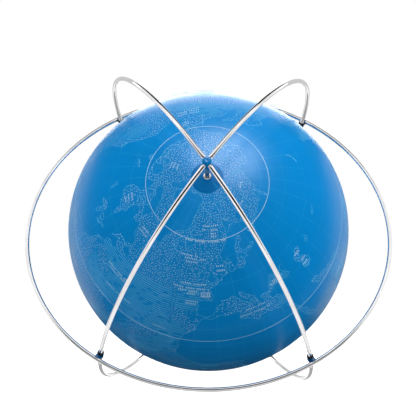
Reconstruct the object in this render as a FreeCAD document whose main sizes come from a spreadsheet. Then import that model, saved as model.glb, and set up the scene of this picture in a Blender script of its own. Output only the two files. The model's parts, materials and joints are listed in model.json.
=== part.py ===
import FreeCAD, Part
import math
import os
from types import SimpleNamespace

import Sketcher
from FreeCAD import Placement, Rotation, Vector

# A desk globe that turns on its polar axis inside a cage of bent wire.
#
# The cage has three concentric circles of wire. Two of them are polar hoops, each made of
# two half-circle arms that plug into a hub at either pole. The third is a slightly larger
# ring, tilted away from the globe's equator, that passes outside the four arms and sits in
# a small clip on each. The cage rests on three points: the ring's lowest point in front and
# the two hoops' lowest points behind it, which leaves the polar axis leaning forwards.
#
# Row frame: +Z up, -Y to the front, +X to the right, origin on the table under the globe's
# centre. Sub-parts are modelled in the globe's frame, whose Z is the polar axis and whose
# origin is the globe's centre, and one Placement leans and lifts them all.

# name: (value in mm or degrees, what it is)
DIMENSIONS = {
    "globe_radius": (150.0, "outside of the printed sphere"),
    "shell_wall": (2.0, "thickness of the moulded hemispheres"),
    "wire_radius": (2.25, "all cage wire is 4.5 mm rod"),
    "hoop_radius": (187.8, "centreline of the polar hoops"),
    "ring_radius": (194.5, "centreline of the tilted ring"),
    "axis_lean": (71.6, "polar axis from the vertical, towards the front"),
    "ring_tilt": (17.5, "tilted ring from the globe's equator"),
    "arm_half_angle": (35.0, "each arm's plane from the cage's mirror plane"),
    "centre_height": (159.803, "globe's centre above the table"),
    "arm_sweep": (177.32, "bend of an arm between its shoulders"),
    "spigot_sweep": (178.35, "bend of an arm between the ends of its spigots"),
    "spigot_radius": (1.5, "turned-down end of an arm"),
    "hub_radius": (5.1, "boss that takes the four arms"),
    "hub_crown_radius": (3.4, "flat on the crown of the hub"),
    "hub_rise": (4.8, "crown of the hub above the wires' centre"),
    "hub_drop": (3.6, "underside of the hub below the wires' centre"),
    "hub_neck": (5.4, "start of the stem below the wires' centre"),
    "hub_bevel": (2.0, "height of the bevel round the crown"),
    "hub_seat_radius": (4.3, "depth that an arm's shoulder enters to, from the axis"),
    "hub_socket_radius": (2.6, "depth that a spigot enters to, from the axis"),
    "hub_clearance": (0.1, "arms in the hub's seats and sockets, radial"),
    "stem_radius": (2.2, "stem under the hub"),
    "stem_drop": (14.0, "end of the stem below the wires' centre"),
    "plug_radius": (1.5, "plug that enters the axle tube"),
    "plug_drop": (26.0, "end of the plug below the wires' centre"),
    "axle_radius": (2.1, "outside of the axle tube"),
    "axle_bore_radius": (1.5, "bore of the axle tube"),
    "running_clearance": (0.05, "axle tube in its bushes, radial"),
    "bush_radius": (4.0, "body of the pole bush"),
    "bush_foot": (138.5, "inner end of the bush from the globe's centre"),
    "flange_radius": (6.5, "flange of the pole bush"),
    "flange_thickness": (1.1, "flange of the pole bush"),
    "seat_height": (149.5, "seat of the bush's flange from the globe's centre"),
    "boss_radius": (7.0, "boss moulded inside each pole"),
    "boss_foot": (138.0, "inner end of the boss from the globe's centre"),
    "cap_radius": (15.2, "rim of the pole cap"),
    "cap_rim": (0.9, "height of the cap's rim"),
    "cap_top": (152.4, "top of the cap from the globe's centre"),
    "cap_top_radius": (4.4, "flat on the top of the cap"),
    "cap_hole_radius": (2.4, "hole for the axle in the cap"),
    "glue_gap": (0.1, "between the cap and the sphere"),
    "washer_gap": (0.3, "end play between cap and thrust washer"),
    "washer_thickness": (0.4, "thrust washer"),
    "washer_radius": (3.4, "thrust washer"),
    "collar_height": (2.0, "press-on collar"),
    "collar_radius": (3.8, "press-on collar"),
    "band_height": (14.0, "joining band inside the equator"),
    "band_radius": (147.8, "outside of the joining band"),
    "band_wall": (1.6, "thickness of the joining band"),
    "clip_radius": (3.35, "outside of a clip's sleeve"),
    "clip_angle": (2.1, "length of a clip's sleeve, as an angle along its arm"),
    "clip_lug_radius": (3.1, "lug that carries the ring"),
    "clip_recess_radius": (2.95, "recess in each end of the sleeve"),
    "clip_recess_angle": (0.42, "depth of the recess, as an angle along the arm"),
    "clip_clearance": (0.03, "wires in the clip, radial"),
}


class Size(float):
    """A number together with the spreadsheet formula that gives it."""

    def __new__(cls, value, formula):
        size = super().__new__(cls, value)
        size.formula = formula
        return size

    def _join(self, other, sign, value):
        other_formula = other.formula if isinstance(other, Size) else repr(other)
        return Size(value, f"({self.formula} {sign} {other_formula})")

    def __add__(self, other):
        return self._join(other, "+", float(self) + float(other))

    def __sub__(self, other):
        return self._join(other, "-", float(self) - float(other))

    def __mul__(self, other):
        return self._join(other, "*", float(self) * float(other))

    def __truediv__(self, other):
        return self._join(other, "/", float(self) / float(other))


doc = FreeCAD.newDocument("CageGlobe")
sheet = doc.addObject("Spreadsheet::Sheet", "Dimensions")
for row, (alias, (value, note)) in enumerate(DIMENSIONS.items(), start=1):
    sheet.set(f"A{row}", alias)
    sheet.set(f"B{row}", str(value))
    sheet.setAlias(f"B{row}", alias)
    sheet.set(f"C{row}", note)
doc.recompute()
d = SimpleNamespace(
    **{alias: Size(value, f"Dimensions.{alias}") for alias, (value, _) in DIMENSIONS.items()}
)

X_AXIS, Y_AXIS, Z_AXIS = Vector(1, 0, 0), Vector(0, 1, 0), Vector(0, 0, 1)
FULL_TURN = 360.0
MARGIN = 1.0  # how far a cutting tool runs past the face that it opens

ARMS = {  # azimuth about the polar axis, and which side of the equator the ring crosses it
    "front_left": (270.0 - d.arm_half_angle, 1),
    "front_right": (270.0 + d.arm_half_angle, 1),
    "back_right": (90.0 - d.arm_half_angle, -1),
    "back_left": (90.0 + d.arm_half_angle, -1),
}
NORTH = Placement()
SOUTH = Placement(Vector(), Rotation(X_AXIS, 180))
POLES = {"north": NORTH, "south": SOUTH}
STANDING = Placement(Vector(0, 0, d.centre_height), Rotation(X_AXIS, d.axis_lean))

subparts = []


def bind(obj, **sizes):
    """Set properties of an object from the spreadsheet."""
    for name, size in sizes.items():
        obj.setExpression(name, size.formula)
    return obj


def turned(axis, degrees):
    return Placement(Vector(), Rotation(axis, degrees))


def finish(obj, label, place):
    """Name a finished sub-part and stand it in the row frame."""
    obj.Label = label
    obj.Placement = STANDING.multiply(place)
    subparts.append(obj)


# ---- primitives and booleans ------------------------------------------------------------


def cylinder(name, radius, foot, height, axis_place=None):
    """A cylinder about the polar axis that starts at a height from the globe's centre."""
    obj = bind(doc.addObject("Part::Cylinder", name), Radius=radius, Height=height)
    obj.Placement = (axis_place or Placement()).multiply(Placement(Vector(0, 0, foot), Rotation()))
    return obj


def half_sphere(name, radius):
    obj = bind(doc.addObject("Part::Sphere", name), Radius=radius)
    obj.Angle1 = 0
    obj.Angle2 = 90
    return obj


def torus_arc(name, radius, wire, sweep, place):
    """A bent rod in the XZ plane, centred on +X, and then moved by a placement."""
    obj = bind(doc.addObject("Part::Torus", name), Radius1=radius, Radius2=wire, Angle3=sweep)
    upright = turned(X_AXIS, 90).multiply(turned(Z_AXIS, -sweep / 2))
    obj.Placement = place.multiply(upright)
    return obj


def fused(name, shapes):
    obj = doc.addObject("Part::MultiFuse", name)
    obj.Shapes = shapes
    return obj


def cut(name, base, tools):
    obj = doc.addObject("Part::Cut", name)
    obj.Base = base
    obj.Tool = tools[0] if len(tools) == 1 else fused(name + "_tools", tools)
    return obj


# ---- sketched bodies --------------------------------------------------------------------


def new_sketch(body, name, plane_role):
    sketch = body.newObject("Sketcher::SketchObject", name)
    plane = [f for f in body.Origin.OriginFeatures if f.Role == plane_role][0]
    sketch.AttachmentSupport = [(plane, "")]
    sketch.MapMode = "FlatFace"
    return sketch


def fix_point(sketch, geometry, point, across, along):
    """Hold a point of a sketch at sizes from the spreadsheet, or on an axis."""
    for kind, size, axis in (("DistanceX", across, -2), ("DistanceY", along, -1)):
        if size == 0:
            sketch.addConstraint(Sketcher.Constraint("PointOnObject", geometry, point, axis))
            continue
        held = Sketcher.Constraint(kind, -1, 1, geometry, point, float(size))
        number = sketch.addConstraint(held)
        sketch.setExpression(f"Constraints[{number}]", size.formula)


def turned_body(name, outline):
    """A body revolved about the polar axis from (radius, height) corners."""
    body = doc.addObject("PartDesign::Body", name)
    sketch = new_sketch(body, name + "_outline", "XZ_Plane")
    corners = [Vector(float(across), float(along), 0) for across, along in outline]
    lines = [
        sketch.addGeometry(Part.LineSegment(start, end), False)
        for start, end in zip(corners, corners[1:] + corners[:1])
    ]
    for line, following in zip(lines, lines[1:] + lines[:1]):
        sketch.addConstraint(Sketcher.Constraint("Coincident", line, 2, following, 1))
    for line, (across, along) in zip(lines, outline):
        fix_point(sketch, line, 1, across, along)
    spin = body.newObject("PartDesign::Revolution", name + "_turning")
    spin.Profile = sketch
    spin.ReferenceAxis = (sketch, ["V_Axis"])
    spin.Angle = FULL_TURN
    return body


def bent_rod(body, name, path_radius, rod_radius, sweep):
    """Add a round rod bent about the Y axis, centred on +X, to a body."""
    sketch = new_sketch(body, name + "_section", "XY_Plane")
    circle = Part.Circle(Vector(float(path_radius), 0, 0), Z_AXIS, float(rod_radius))
    geometry = sketch.addGeometry(circle, False)
    fix_point(sketch, geometry, 3, path_radius, 0)
    number = sketch.addConstraint(Sketcher.Constraint("Radius", geometry, float(rod_radius)))
    sketch.setExpression(f"Constraints[{number}]", rod_radius.formula)
    bend = body.newObject("PartDesign::Revolution", name + "_bend")
    bend.Profile = sketch
    bend.ReferenceAxis = (sketch, ["V_Axis"])
    bend.Midplane = True
    bind(bend, Angle=sweep)


# ---- the wire cage ----------------------------------------------------------------------


def build_arm(side, azimuth):
    """A half circle of rod from pole to pole with a turned-down spigot on either end."""
    body = doc.addObject("PartDesign::Body", f"arm_{side}")
    bent_rod(body, f"arm_{side}", d.hoop_radius, d.wire_radius, d.arm_sweep)
    bent_rod(body, f"spigots_{side}", d.hoop_radius, d.spigot_radius, d.spigot_sweep)
    finish(body, f"arm_{side}", turned(Z_AXIS, azimuth))


def build_ring():
    """The tilted ring, butt-welded into one full circle."""
    ring = doc.addObject("Part::Torus", "ring")
    bind(ring, Radius1=d.ring_radius, Radius2=d.wire_radius)
    finish(ring, "tilted_ring", turned(X_AXIS, -d.ring_tilt))


def build_clip(side, azimuth, hemisphere):
    """A moulded sleeve on an arm with a lug whose groove holds the inner half of the ring."""
    tilt, half_angle = math.radians(d.ring_tilt), math.radians(d.arm_half_angle)
    latitude = hemisphere * math.degrees(math.atan(math.tan(tilt) * math.cos(half_angle)))
    skew = math.degrees(math.asin(math.sin(tilt) * math.cos(math.radians(azimuth))))
    name = f"clip_{side}"
    sleeve = torus_arc(f"{name}_sleeve", d.hoop_radius, d.clip_radius, d.clip_angle, Placement())
    lug = cylinder(
        f"{name}_lug",
        d.clip_lug_radius,
        d.hoop_radius,
        d.ring_radius - d.hoop_radius,
        turned(Y_AXIS, 90),
    )
    tools = [
        torus_arc(
            f"{name}_bore",
            d.hoop_radius,
            d.wire_radius + d.clip_clearance,
            d.clip_angle * 2,
            Placement(),
        ),
        torus_arc(
            f"{name}_groove",
            d.ring_radius,
            d.wire_radius + d.clip_clearance,
            d.clip_angle * 2,
            turned(X_AXIS, 90 - skew),
        ),
    ]
    for end in (-1, 1):
        shift = end * float(d.clip_angle) / 2
        tools.append(
            torus_arc(
                f"{name}_recess",
                d.hoop_radius,
                d.clip_recess_radius,
                d.clip_recess_angle * 2,
                turned(Y_AXIS, shift),
            )
        )
    clip = cut(name, fused(f"{name}_blank", [sleeve, lug]), tools)
    finish(clip, f"ring_clip_{side}", turned(Z_AXIS, azimuth).multiply(turned(Y_AXIS, -latitude)))


def build_hub(pole, place):
    """A moulded boss with four arm sockets, and a stem whose plug enters the axle tube."""
    level = d.hoop_radius
    body = turned_body(
        f"{pole}_hub_blank",
        [
            (0, level - d.plug_drop),
            (d.plug_radius, level - d.plug_drop),
            (d.plug_radius, level - d.stem_drop),
            (d.stem_radius, level - d.stem_drop),
            (d.stem_radius, level - d.hub_neck),
            (d.hub_radius, level - d.hub_drop),
            (d.hub_radius, level + d.hub_rise - d.hub_bevel),
            (d.hub_crown_radius, level + d.hub_rise),
            (0, level + d.hub_rise),
        ],
    )
    tools = []
    for azimuth, _ in ARMS.values():
        outward = Placement(Vector(0, 0, level), Rotation(Z_AXIS, azimuth)).multiply(
            turned(Y_AXIS, 90)
        )
        for kind, radius, depth in (
            ("seat", d.wire_radius, d.hub_seat_radius),
            ("socket", d.spigot_radius, d.hub_socket_radius),
        ):
            length = d.hub_radius - depth + MARGIN
            hole = radius + d.hub_clearance
            tools.append(cylinder(f"{pole}_{kind}", hole, depth, length, outward))
    finish(cut(f"{pole}_hub", body, tools), f"{pole}_hub", place)


def build_axle():
    """A steel tube from hub to hub, which the globe turns on."""
    reach = d.hoop_radius - d.stem_drop
    tube = cylinder("axle_outside", d.axle_radius, -reach, reach * 2)
    bore = cylinder("axle_bore", d.axle_bore_radius, -reach - MARGIN, reach * 2 + 2 * MARGIN)
    finish(cut("axle", tube, [bore]), "axle_tube", NORTH)


def build_collar(pole, place):
    """The bright ring pressed on the axle outside a pole, and the washer under it."""
    washer_foot = d.cap_top + d.washer_gap
    collar_foot = washer_foot + d.washer_thickness
    rounding = d.collar_height / 4
    collar = turned_body(
        f"{pole}_collar",
        [
            (d.axle_radius, collar_foot),
            (d.collar_radius, collar_foot),
            (d.collar_radius, collar_foot + d.collar_height - rounding),
            (d.collar_radius - rounding, collar_foot + d.collar_height),
            (d.axle_radius, collar_foot + d.collar_height),
        ],
    )
    finish(collar, f"{pole}_collar", place)
    disc = cylinder(f"{pole}_disc", d.washer_radius, washer_foot, d.washer_thickness)
    hole = cylinder(
        f"{pole}_disc_hole", d.axle_radius, washer_foot - MARGIN, d.washer_thickness + 2 * MARGIN
    )
    finish(cut(f"{pole}_washer", disc, [hole]), f"{pole}_thrust_washer", place)


# ---- the globe --------------------------------------------------------------------------


def build_hemisphere(pole, place):
    """Half of the hollow ball, with a boss inside the pole that holds the bush."""
    outside = half_sphere(f"{pole}_outside", d.globe_radius)
    inside = half_sphere(f"{pole}_inside", d.globe_radius - d.shell_wall)
    shell = cut(f"{pole}_shell", outside, [inside])
    boss_height = d.seat_height - d.boss_foot
    boss = cylinder(f"{pole}_boss", d.boss_radius, d.boss_foot, boss_height)
    blank = fused(f"{pole}_blank", [shell, boss])
    rim = d.globe_radius + MARGIN
    hole = cylinder(f"{pole}_hole", d.bush_radius, d.boss_foot - MARGIN, rim - d.boss_foot + MARGIN)
    seat = cylinder(f"{pole}_seat", d.flange_radius, d.seat_height, rim - d.seat_height)
    finish(cut(f"{pole}_hemisphere", blank, [hole, seat]), f"{pole}ern_hemisphere", place)


def build_bush(pole, place):
    """A flanged bearing bush that runs on the axle tube."""
    bore = d.axle_radius + d.running_clearance
    bush = turned_body(
        f"{pole}_bush",
        [
            (bore, d.bush_foot),
            (d.bush_radius, d.bush_foot),
            (d.bush_radius, d.seat_height),
            (d.flange_radius, d.seat_height),
            (d.flange_radius, d.seat_height + d.flange_thickness),
            (bore, d.seat_height + d.flange_thickness),
        ],
    )
    finish(bush, f"{pole}_pole_bush", place)


def build_cap(pole, place):
    """A shallow cone over the bush, hollowed underneath to sit on the sphere."""
    sphere_radius = d.globe_radius + d.glue_gap
    low_rim = math.sqrt(sphere_radius**2 - d.cap_radius**2)
    skirt_foot = d.seat_height - MARGIN
    shoulder = low_rim + d.cap_rim - skirt_foot
    skirt = doc.addObject("Part::Cylinder", f"{pole}_cap_skirt")
    bind(skirt, Radius=d.cap_radius)
    skirt.Height = shoulder
    skirt.Placement.Base.z = float(skirt_foot)
    cone = doc.addObject("Part::Cone", f"{pole}_cap_cone")
    bind(cone, Radius1=d.cap_radius, Radius2=d.cap_top_radius)
    cone.Height = float(d.cap_top) - low_rim - d.cap_rim
    cone.Placement.Base.z = low_rim + d.cap_rim
    ball = bind(doc.addObject("Part::Sphere", f"{pole}_cap_ball"), Radius=sphere_radius)
    recess_radius = d.flange_radius + d.glue_gap
    recess_height = d.seat_height + d.flange_thickness + d.glue_gap - skirt_foot
    recess = cylinder(f"{pole}_cap_recess", recess_radius, skirt_foot, recess_height)
    hole_height = d.cap_top - skirt_foot + MARGIN
    hole = cylinder(f"{pole}_cap_hole", d.cap_hole_radius, skirt_foot, hole_height)
    blank = fused(f"{pole}_cap_blank", [skirt, cone])
    finish(cut(f"{pole}_cap", blank, [ball, recess, hole]), f"{pole}_pole_cap", place)


def build_joining_band():
    """The ring glued inside the equator that joins the two hemispheres."""
    half = d.band_height / 2
    outside = cylinder("band_outside", d.band_radius, -half, d.band_height)
    inner_radius = d.band_radius - d.band_wall
    inside = cylinder("band_inside", inner_radius, -half - MARGIN, d.band_height + 2 * MARGIN)
    finish(cut("band", outside, [inside]), "equator_joining_band", NORTH)


for arm_side, (arm_azimuth, ring_side) in ARMS.items():
    build_arm(arm_side, arm_azimuth)
    build_clip(arm_side, arm_azimuth, ring_side)
build_ring()
build_axle()
build_joining_band()
for pole_name, pole_place in POLES.items():
    build_hub(pole_name, pole_place)
    build_collar(pole_name, pole_place)
    build_hemisphere(pole_name, pole_place)
    build_bush(pole_name, pole_place)
    build_cap(pole_name, pole_place)

doc.recompute()

# Every object has to have computed, and every sub-part has to be a sound solid.
failed = [obj.Name for obj in doc.Objects if {"Invalid", "Error"} & set(obj.State)]
for part in subparts:
    shape = part.Shape
    if shape.isNull() or not shape.isValid() or len(shape.Solids) != 1:
        failed.append(part.Label)
if failed:
    raise RuntimeError(f"these objects failed: {failed}")

os.makedirs("parts", exist_ok=True)
for part in subparts:
    part.Shape.exportStep(f"parts/{part.Label}.step")
    print(f"{part.Label}: {part.Shape.Volume / 1000:.2f} cm3, {part.Shape.BoundBox}")
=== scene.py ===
import json
import math

import bpy
import numpy as np
from mathutils import Euler, Matrix, Vector, noise


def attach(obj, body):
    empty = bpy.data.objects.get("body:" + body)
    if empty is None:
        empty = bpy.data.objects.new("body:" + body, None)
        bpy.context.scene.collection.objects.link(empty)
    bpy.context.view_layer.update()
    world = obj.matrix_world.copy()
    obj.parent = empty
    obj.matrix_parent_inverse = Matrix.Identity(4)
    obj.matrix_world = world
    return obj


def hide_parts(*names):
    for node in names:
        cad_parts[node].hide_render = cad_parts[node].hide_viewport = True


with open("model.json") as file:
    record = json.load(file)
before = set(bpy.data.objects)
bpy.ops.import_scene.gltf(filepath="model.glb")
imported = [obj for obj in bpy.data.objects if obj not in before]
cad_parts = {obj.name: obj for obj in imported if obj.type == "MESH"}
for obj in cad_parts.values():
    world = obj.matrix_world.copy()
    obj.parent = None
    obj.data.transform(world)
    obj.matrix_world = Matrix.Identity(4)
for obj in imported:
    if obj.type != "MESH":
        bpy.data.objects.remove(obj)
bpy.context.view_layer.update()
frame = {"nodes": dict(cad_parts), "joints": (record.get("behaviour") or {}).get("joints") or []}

# ---- places and sizes from the frame ----------------------------------------------------
# Pieces are built in the globe's own frame, in metres: Z is the polar axis towards the north
# pole and the origin is the globe's centre. POLAR stands that frame up in the part's frame.

MM = 0.001
SPIN = frame["joints"][0]
CENTRE = Vector(SPIN["pos_m"])
NORTHWARD = Vector(SPIN["axis"]).normalized()
UPRIGHT = Vector((0, 0, 1))
POLAR = Matrix.Translation(CENTRE) @ UPRIGHT.rotation_difference(NORTHWARD).to_matrix().to_4x4()
TO_POLAR = POLAR.inverted()

NORTH = Matrix.Identity(4)
SOUTH = Matrix.Rotation(math.pi, 4, "X")
POLES = {"north": NORTH, "south": SOUTH}
SIDES = ("front_left", "front_right", "back_right", "back_left")


def polar_points(node):
    """A CAD node's vertices in the globe's frame, one row each."""
    mesh = frame["nodes"][node].data
    points = np.empty(len(mesh.vertices) * 3)
    mesh.vertices.foreach_get("co", points)
    turn = np.array(TO_POLAR)
    return points.reshape(-1, 3) @ turn[:3, :3].T + turn[:3, 3]


def distances(node):
    """The nearest and the farthest that a CAD node comes to the globe's centre."""
    reach = np.linalg.norm(polar_points(node), axis=1)
    return reach.min(), reach.max()


def turning(node):
    """Inner radius, outer radius, foot and top of a CAD node that is round about the axis."""
    points = polar_points(node)
    radius = np.hypot(points[:, 0], points[:, 1])
    return radius.min(), radius.max(), points[:, 2].min(), points[:, 2].max()


def heading(node):
    """Azimuth and latitude of the middle of a CAD node, seen from the globe's centre."""
    middle = polar_points(node).mean(0)
    return math.atan2(middle[1], middle[0]), math.atan2(middle[2], math.hypot(*middle[:2]))


GLOBE_RADIUS = distances("northern_hemisphere")[1]
hoop_inner, hoop_outer = distances("arm_front_left")
HOOP_RADIUS, WIRE_RADIUS = (hoop_inner + hoop_outer) / 2, (hoop_outer - hoop_inner) / 2
ring_inner, ring_outer = distances("tilted_ring")
RING_RADIUS = (ring_inner + ring_outer) / 2


# ---- mesh building ----------------------------------------------------------------------


def add_piece(mesh, body, material, place=NORTH, replaces=(), crease=35):
    """Stand a mesh made in the globe's frame in the part's frame, finish it and let it ride."""
    mesh.transform(POLAR @ place)
    mesh.shade_smooth()
    mesh.set_sharp_from_angle(angle=math.radians(crease))
    mesh.materials.clear()
    mesh.materials.append(material)
    piece = bpy.data.objects.new(mesh.name, mesh)
    bpy.context.scene.collection.objects.link(piece)
    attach(piece, body)
    if replaces:
        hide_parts(*replaces)


def finish_node(node, material):
    """Give a CAD node that stays in view its finish."""
    node_object = frame["nodes"][node]
    node_object.data.materials.clear()
    node_object.data.materials.append(material)


def mesh_of_rings(name, rings, uv_rings, looped):
    """Skin a row of vertex rings. A ring of one point closes the skin to a tip.

    looped joins the last ring to the first one. The surface map runs round each ring in u and
    along the row in v, both in metres.
    """
    corners, starts = [], []
    for ring in rings:
        starts.append(len(corners))
        corners.extend(ring)
    around = max(len(ring) for ring in rings)
    faces, maps = [], []
    rows = len(rings) if looped else len(rings) - 1
    for row in range(rows):
        following = (row + 1) % len(rings)
        for i in range(around):
            face, face_map = [], []
            for ring, column in ((row, i), (row, i + 1), (following, i + 1), (following, i)):
                corner = starts[ring] + column % len(rings[ring])
                if corner in face:
                    continue
                face.append(corner)
                across, along = uv_rings[row + (ring != row)]
                face_map.append((across * column / around, along))
            faces.append(face)
            maps.extend(face_map)
    mesh = bpy.data.meshes.new(name)
    mesh.from_pydata(corners, [], faces)
    layer = mesh.uv_layers.new(name="surface")
    layer.data.foreach_set("uv", np.array(maps, np.float32).ravel())
    mesh.validate()
    return mesh


def lathe(name, outline, looped=True, around=128):
    """Turn an outline of (radius, height) points about the polar axis."""
    rings, uv_rings = [], []
    travelled, previous = 0.0, outline[0]
    turns = [(math.cos(a), math.sin(a)) for a in np.linspace(0, math.tau, around, endpoint=False)]
    for radius, height in outline + outline[:1]:
        travelled += math.dist((radius, height), previous)
        previous = (radius, height)
        uv_rings.append((math.tau * radius, travelled))
        if radius < MM / 100:
            rings.append([(0.0, 0.0, height)])
        else:
            rings.append([(radius * c, radius * s, height) for c, s in turns])
    return mesh_of_rings(name, rings[:-1], uv_rings, looped)


def rounded(corners, steps=5):
    """An outline with its corners rounded: each corner is (radius, height, rounding)."""
    outline = []
    for i, (x, y, rounding) in enumerate(corners):
        here = Vector((x, y))
        if not rounding:
            outline.append((x, y))
            continue
        before = (Vector(corners[i - 1][:2]) - here).normalized()
        after = (Vector(corners[(i + 1) % len(corners)][:2]) - here).normalized()
        half = before.angle(after) / 2
        centre = here + (before + after).normalized() * rounding / math.sin(half)
        start = here + before * rounding / math.tan(half) - centre
        end = here + after * rounding / math.tan(half) - centre
        for step in range(steps + 1):
            spoke = start.slerp(end, step / steps) * rounding
            outline.append(tuple(centre + spoke))
    return outline


def arc_points(radius, start, end, steps):
    """(radius about the axis, height) points on a sphere, by latitude in radians."""
    return [(radius * math.cos(a), radius * math.sin(a)) for a in np.linspace(start, end, steps)]


def bent_rod(name, bend, stations, place, around=32):
    """A rod bent to a radius in the XZ plane, centred on +X, from (angle, radius) stations."""
    rings, uv_rings = [], []
    for angle, radius in stations:
        middle = Vector((math.cos(angle), 0, math.sin(angle)))
        if radius == 0:
            rings.append([tuple(middle * bend)])
        else:
            rings.append(
                [
                    tuple(middle * (bend + radius * math.cos(a)) + Vector((0, radius * math.sin(a), 0)))
                    for a in np.linspace(0, -math.tau, around, endpoint=False)
                ]
            )
        uv_rings.append((math.tau * WIRE_RADIUS, bend * angle))
    looped = stations[0][1] > 0
    uv_rings.append((math.tau * WIRE_RADIUS, bend * (2 * stations[-1][0] - stations[-2][0])))
    mesh = mesh_of_rings(name, rings, uv_rings, looped)
    mesh.transform(place)
    return mesh


def solid_from(mesh):
    """A throwaway object that holds a mesh."""
    tool = bpy.data.objects.new("tool", mesh)
    bpy.context.scene.collection.objects.link(tool)
    return tool


def moulded(name, blanks, cutters, voxel, softness):
    """One mould-cast solid: the blanks joined, the cutters taken out, and every edge softened."""
    body = solid_from(blanks[0])
    for mesh, operation in [(m, "UNION") for m in blanks[1:]] + [(m, "DIFFERENCE") for m in cutters]:
        tool = solid_from(mesh)
        cut = body.modifiers.new("cut", "BOOLEAN")
        cut.operation, cut.solver, cut.object = operation, "EXACT", tool
        body.data = evaluated(body)
        body.modifiers.clear()
        bpy.data.objects.remove(tool)
    remesh = body.modifiers.new("remesh", "REMESH")
    remesh.mode, remesh.voxel_size, remesh.use_smooth_shade = "VOXEL", voxel, True
    smooth = body.modifiers.new("smooth", "SMOOTH")
    smooth.factor, smooth.iterations = 0.5, softness
    mesh = evaluated(body)
    mesh.name = name
    bpy.data.objects.remove(body)
    return mesh


def evaluated(piece):
    """A mesh with a piece's modifiers applied."""
    graph = bpy.context.evaluated_depsgraph_get()
    graph.update()
    return bpy.data.meshes.new_from_object(piece.evaluated_get(graph), depsgraph=graph)


# ---- finishes ---------------------------------------------------------------------------


def feed(tree, socket, value):
    """Link another node's output to a socket, or set the socket to a number or a colour."""
    if isinstance(value, bpy.types.NodeSocket):
        tree.links.new(value, socket)
    else:
        socket.default_value = value


def add_node(tree, kind, settings=None, **inputs):
    """Add a shader node. An input takes a number, a colour or another node's output."""
    made = tree.nodes.new(kind)
    for key, value in (settings or {}).items():
        setattr(made, key, value)
    for key, value in inputs.items():
        socket = made.inputs[int(key[1:])] if key[0] == "i" and key[1:].isdigit() else made.inputs[key]
        feed(tree, socket, value)
    return made.outputs[0]


def new_finish(name, **fixed):
    """A material whose Principled shader has its fixed numbers set on its own sockets."""
    material = bpy.data.materials.new(name)
    material.use_nodes = True
    shader = material.node_tree.nodes["Principled BSDF"]
    for key, value in fixed.items():
        shader.inputs[key.replace("_", " ").title().replace("Ior", "IOR")].default_value = value
    return material, material.node_tree, shader


def spread(tree, source, low, high, to_low=0.0, to_high=1.0):
    """Stretch a value from one range to another, and clamp it there."""
    return add_node(
        tree, "ShaderNodeMapRange", None,
        Value=source, i1=low, i2=high, i3=to_low, i4=to_high,
    )


def mixed(tree, share, first, second):
    """Mix two colours by a share."""
    made = tree.nodes.new("ShaderNodeMix")
    made.data_type = "RGBA"
    for index, value in ((0, share), (6, first), (7, second)):
        feed(tree, made.inputs[index], value)
    return made.outputs[2]


def grain(tree, where, scale, detail=3.0, roughness=0.5):
    """Fractal noise about one half. The scale is cycles per metre."""
    return add_node(
        tree, "ShaderNodeTexNoise", None, Vector=where, Scale=scale, Detail=detail, Roughness=roughness
    )


def stretched(tree, where, factors):
    """Coordinates scaled by a different factor along each axis."""
    return add_node(tree, "ShaderNodeMapping", None, Vector=where, Scale=factors)


def edge_wear(tree, low, high):
    """How worn a place is: 0 on faces and 1 on the sharpest outer edges."""
    made = tree.nodes.new("ShaderNodeNewGeometry")
    return spread(tree, made.outputs["Pointiness"], low, high)


def raise_bump(tree, shader, height, strength, distance):
    tree.links.new(
        add_node(tree, "ShaderNodeBump", None, Height=height, Strength=strength, Distance=distance),
        shader.inputs["Normal"],
    )


def plastic_finish(name, deep, pale, worn, gloss, speckle, rub=(0.53, 0.62), **fixed):
    """Moulded or painted plastic: clouded colour, fine orange peel and paler worn edges.

    rub is the range of edge sharpness over which the wear sets in.
    """
    material, tree, shader = new_finish(name, **fixed)
    coordinates = tree.nodes.new("ShaderNodeTexCoord").outputs["Object"]
    clouds = spread(tree, grain(tree, coordinates, 35.0, 4.0), 0.3, 0.7)
    fine = grain(tree, coordinates, speckle, 2.0)
    colour = mixed(tree, clouds, deep, pale)
    colour = mixed(tree, spread(tree, fine, 0.56, 0.78, 0.0, 0.10), colour, worn)
    colour = mixed(tree, edge_wear(tree, *rub), colour, worn)
    tree.links.new(colour, shader.inputs["Base Color"])
    smears = grain(tree, stretched(tree, coordinates, (60.0, 60.0, 14.0)), 1.0, 4.0)
    tree.links.new(spread(tree, smears, 0.3, 0.7, *gloss), shader.inputs["Roughness"])
    raise_bump(tree, shader, fine, 0.35, 0.00003)
    return material


def metal_finish(name, dark, bright, gloss, lines, **fixed):
    """Plated or drawn metal: draw lines along the surface map, faint smears and rubbed edges."""
    material, tree, shader = new_finish(name, metallic=1.0, **fixed)
    coordinates = tree.nodes.new("ShaderNodeTexCoord").outputs
    drawn = grain(tree, stretched(tree, coordinates["UV"], (lines, 25.0, 1.0)), 1.0, 3.0)
    smears = grain(tree, coordinates["Object"], 45.0, 4.0)
    colour = mixed(tree, spread(tree, smears, 0.3, 0.7), dark, bright)
    colour = mixed(tree, spread(tree, drawn, 0.25, 0.4, 0.35, 0.0), colour, dark)
    tree.links.new(colour, shader.inputs["Base Color"])
    rough = add_node(
        tree, "ShaderNodeMath", {"operation": "ADD"},
        i0=spread(tree, smears, 0.35, 0.7, *gloss),
        i1=spread(tree, drawn, 0.45, 0.75, 0.0, gloss[1] / 2),
    )
    tree.links.new(rough, shader.inputs["Roughness"])
    raise_bump(tree, shader, drawn, 0.12, 0.00001)
    return material


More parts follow.
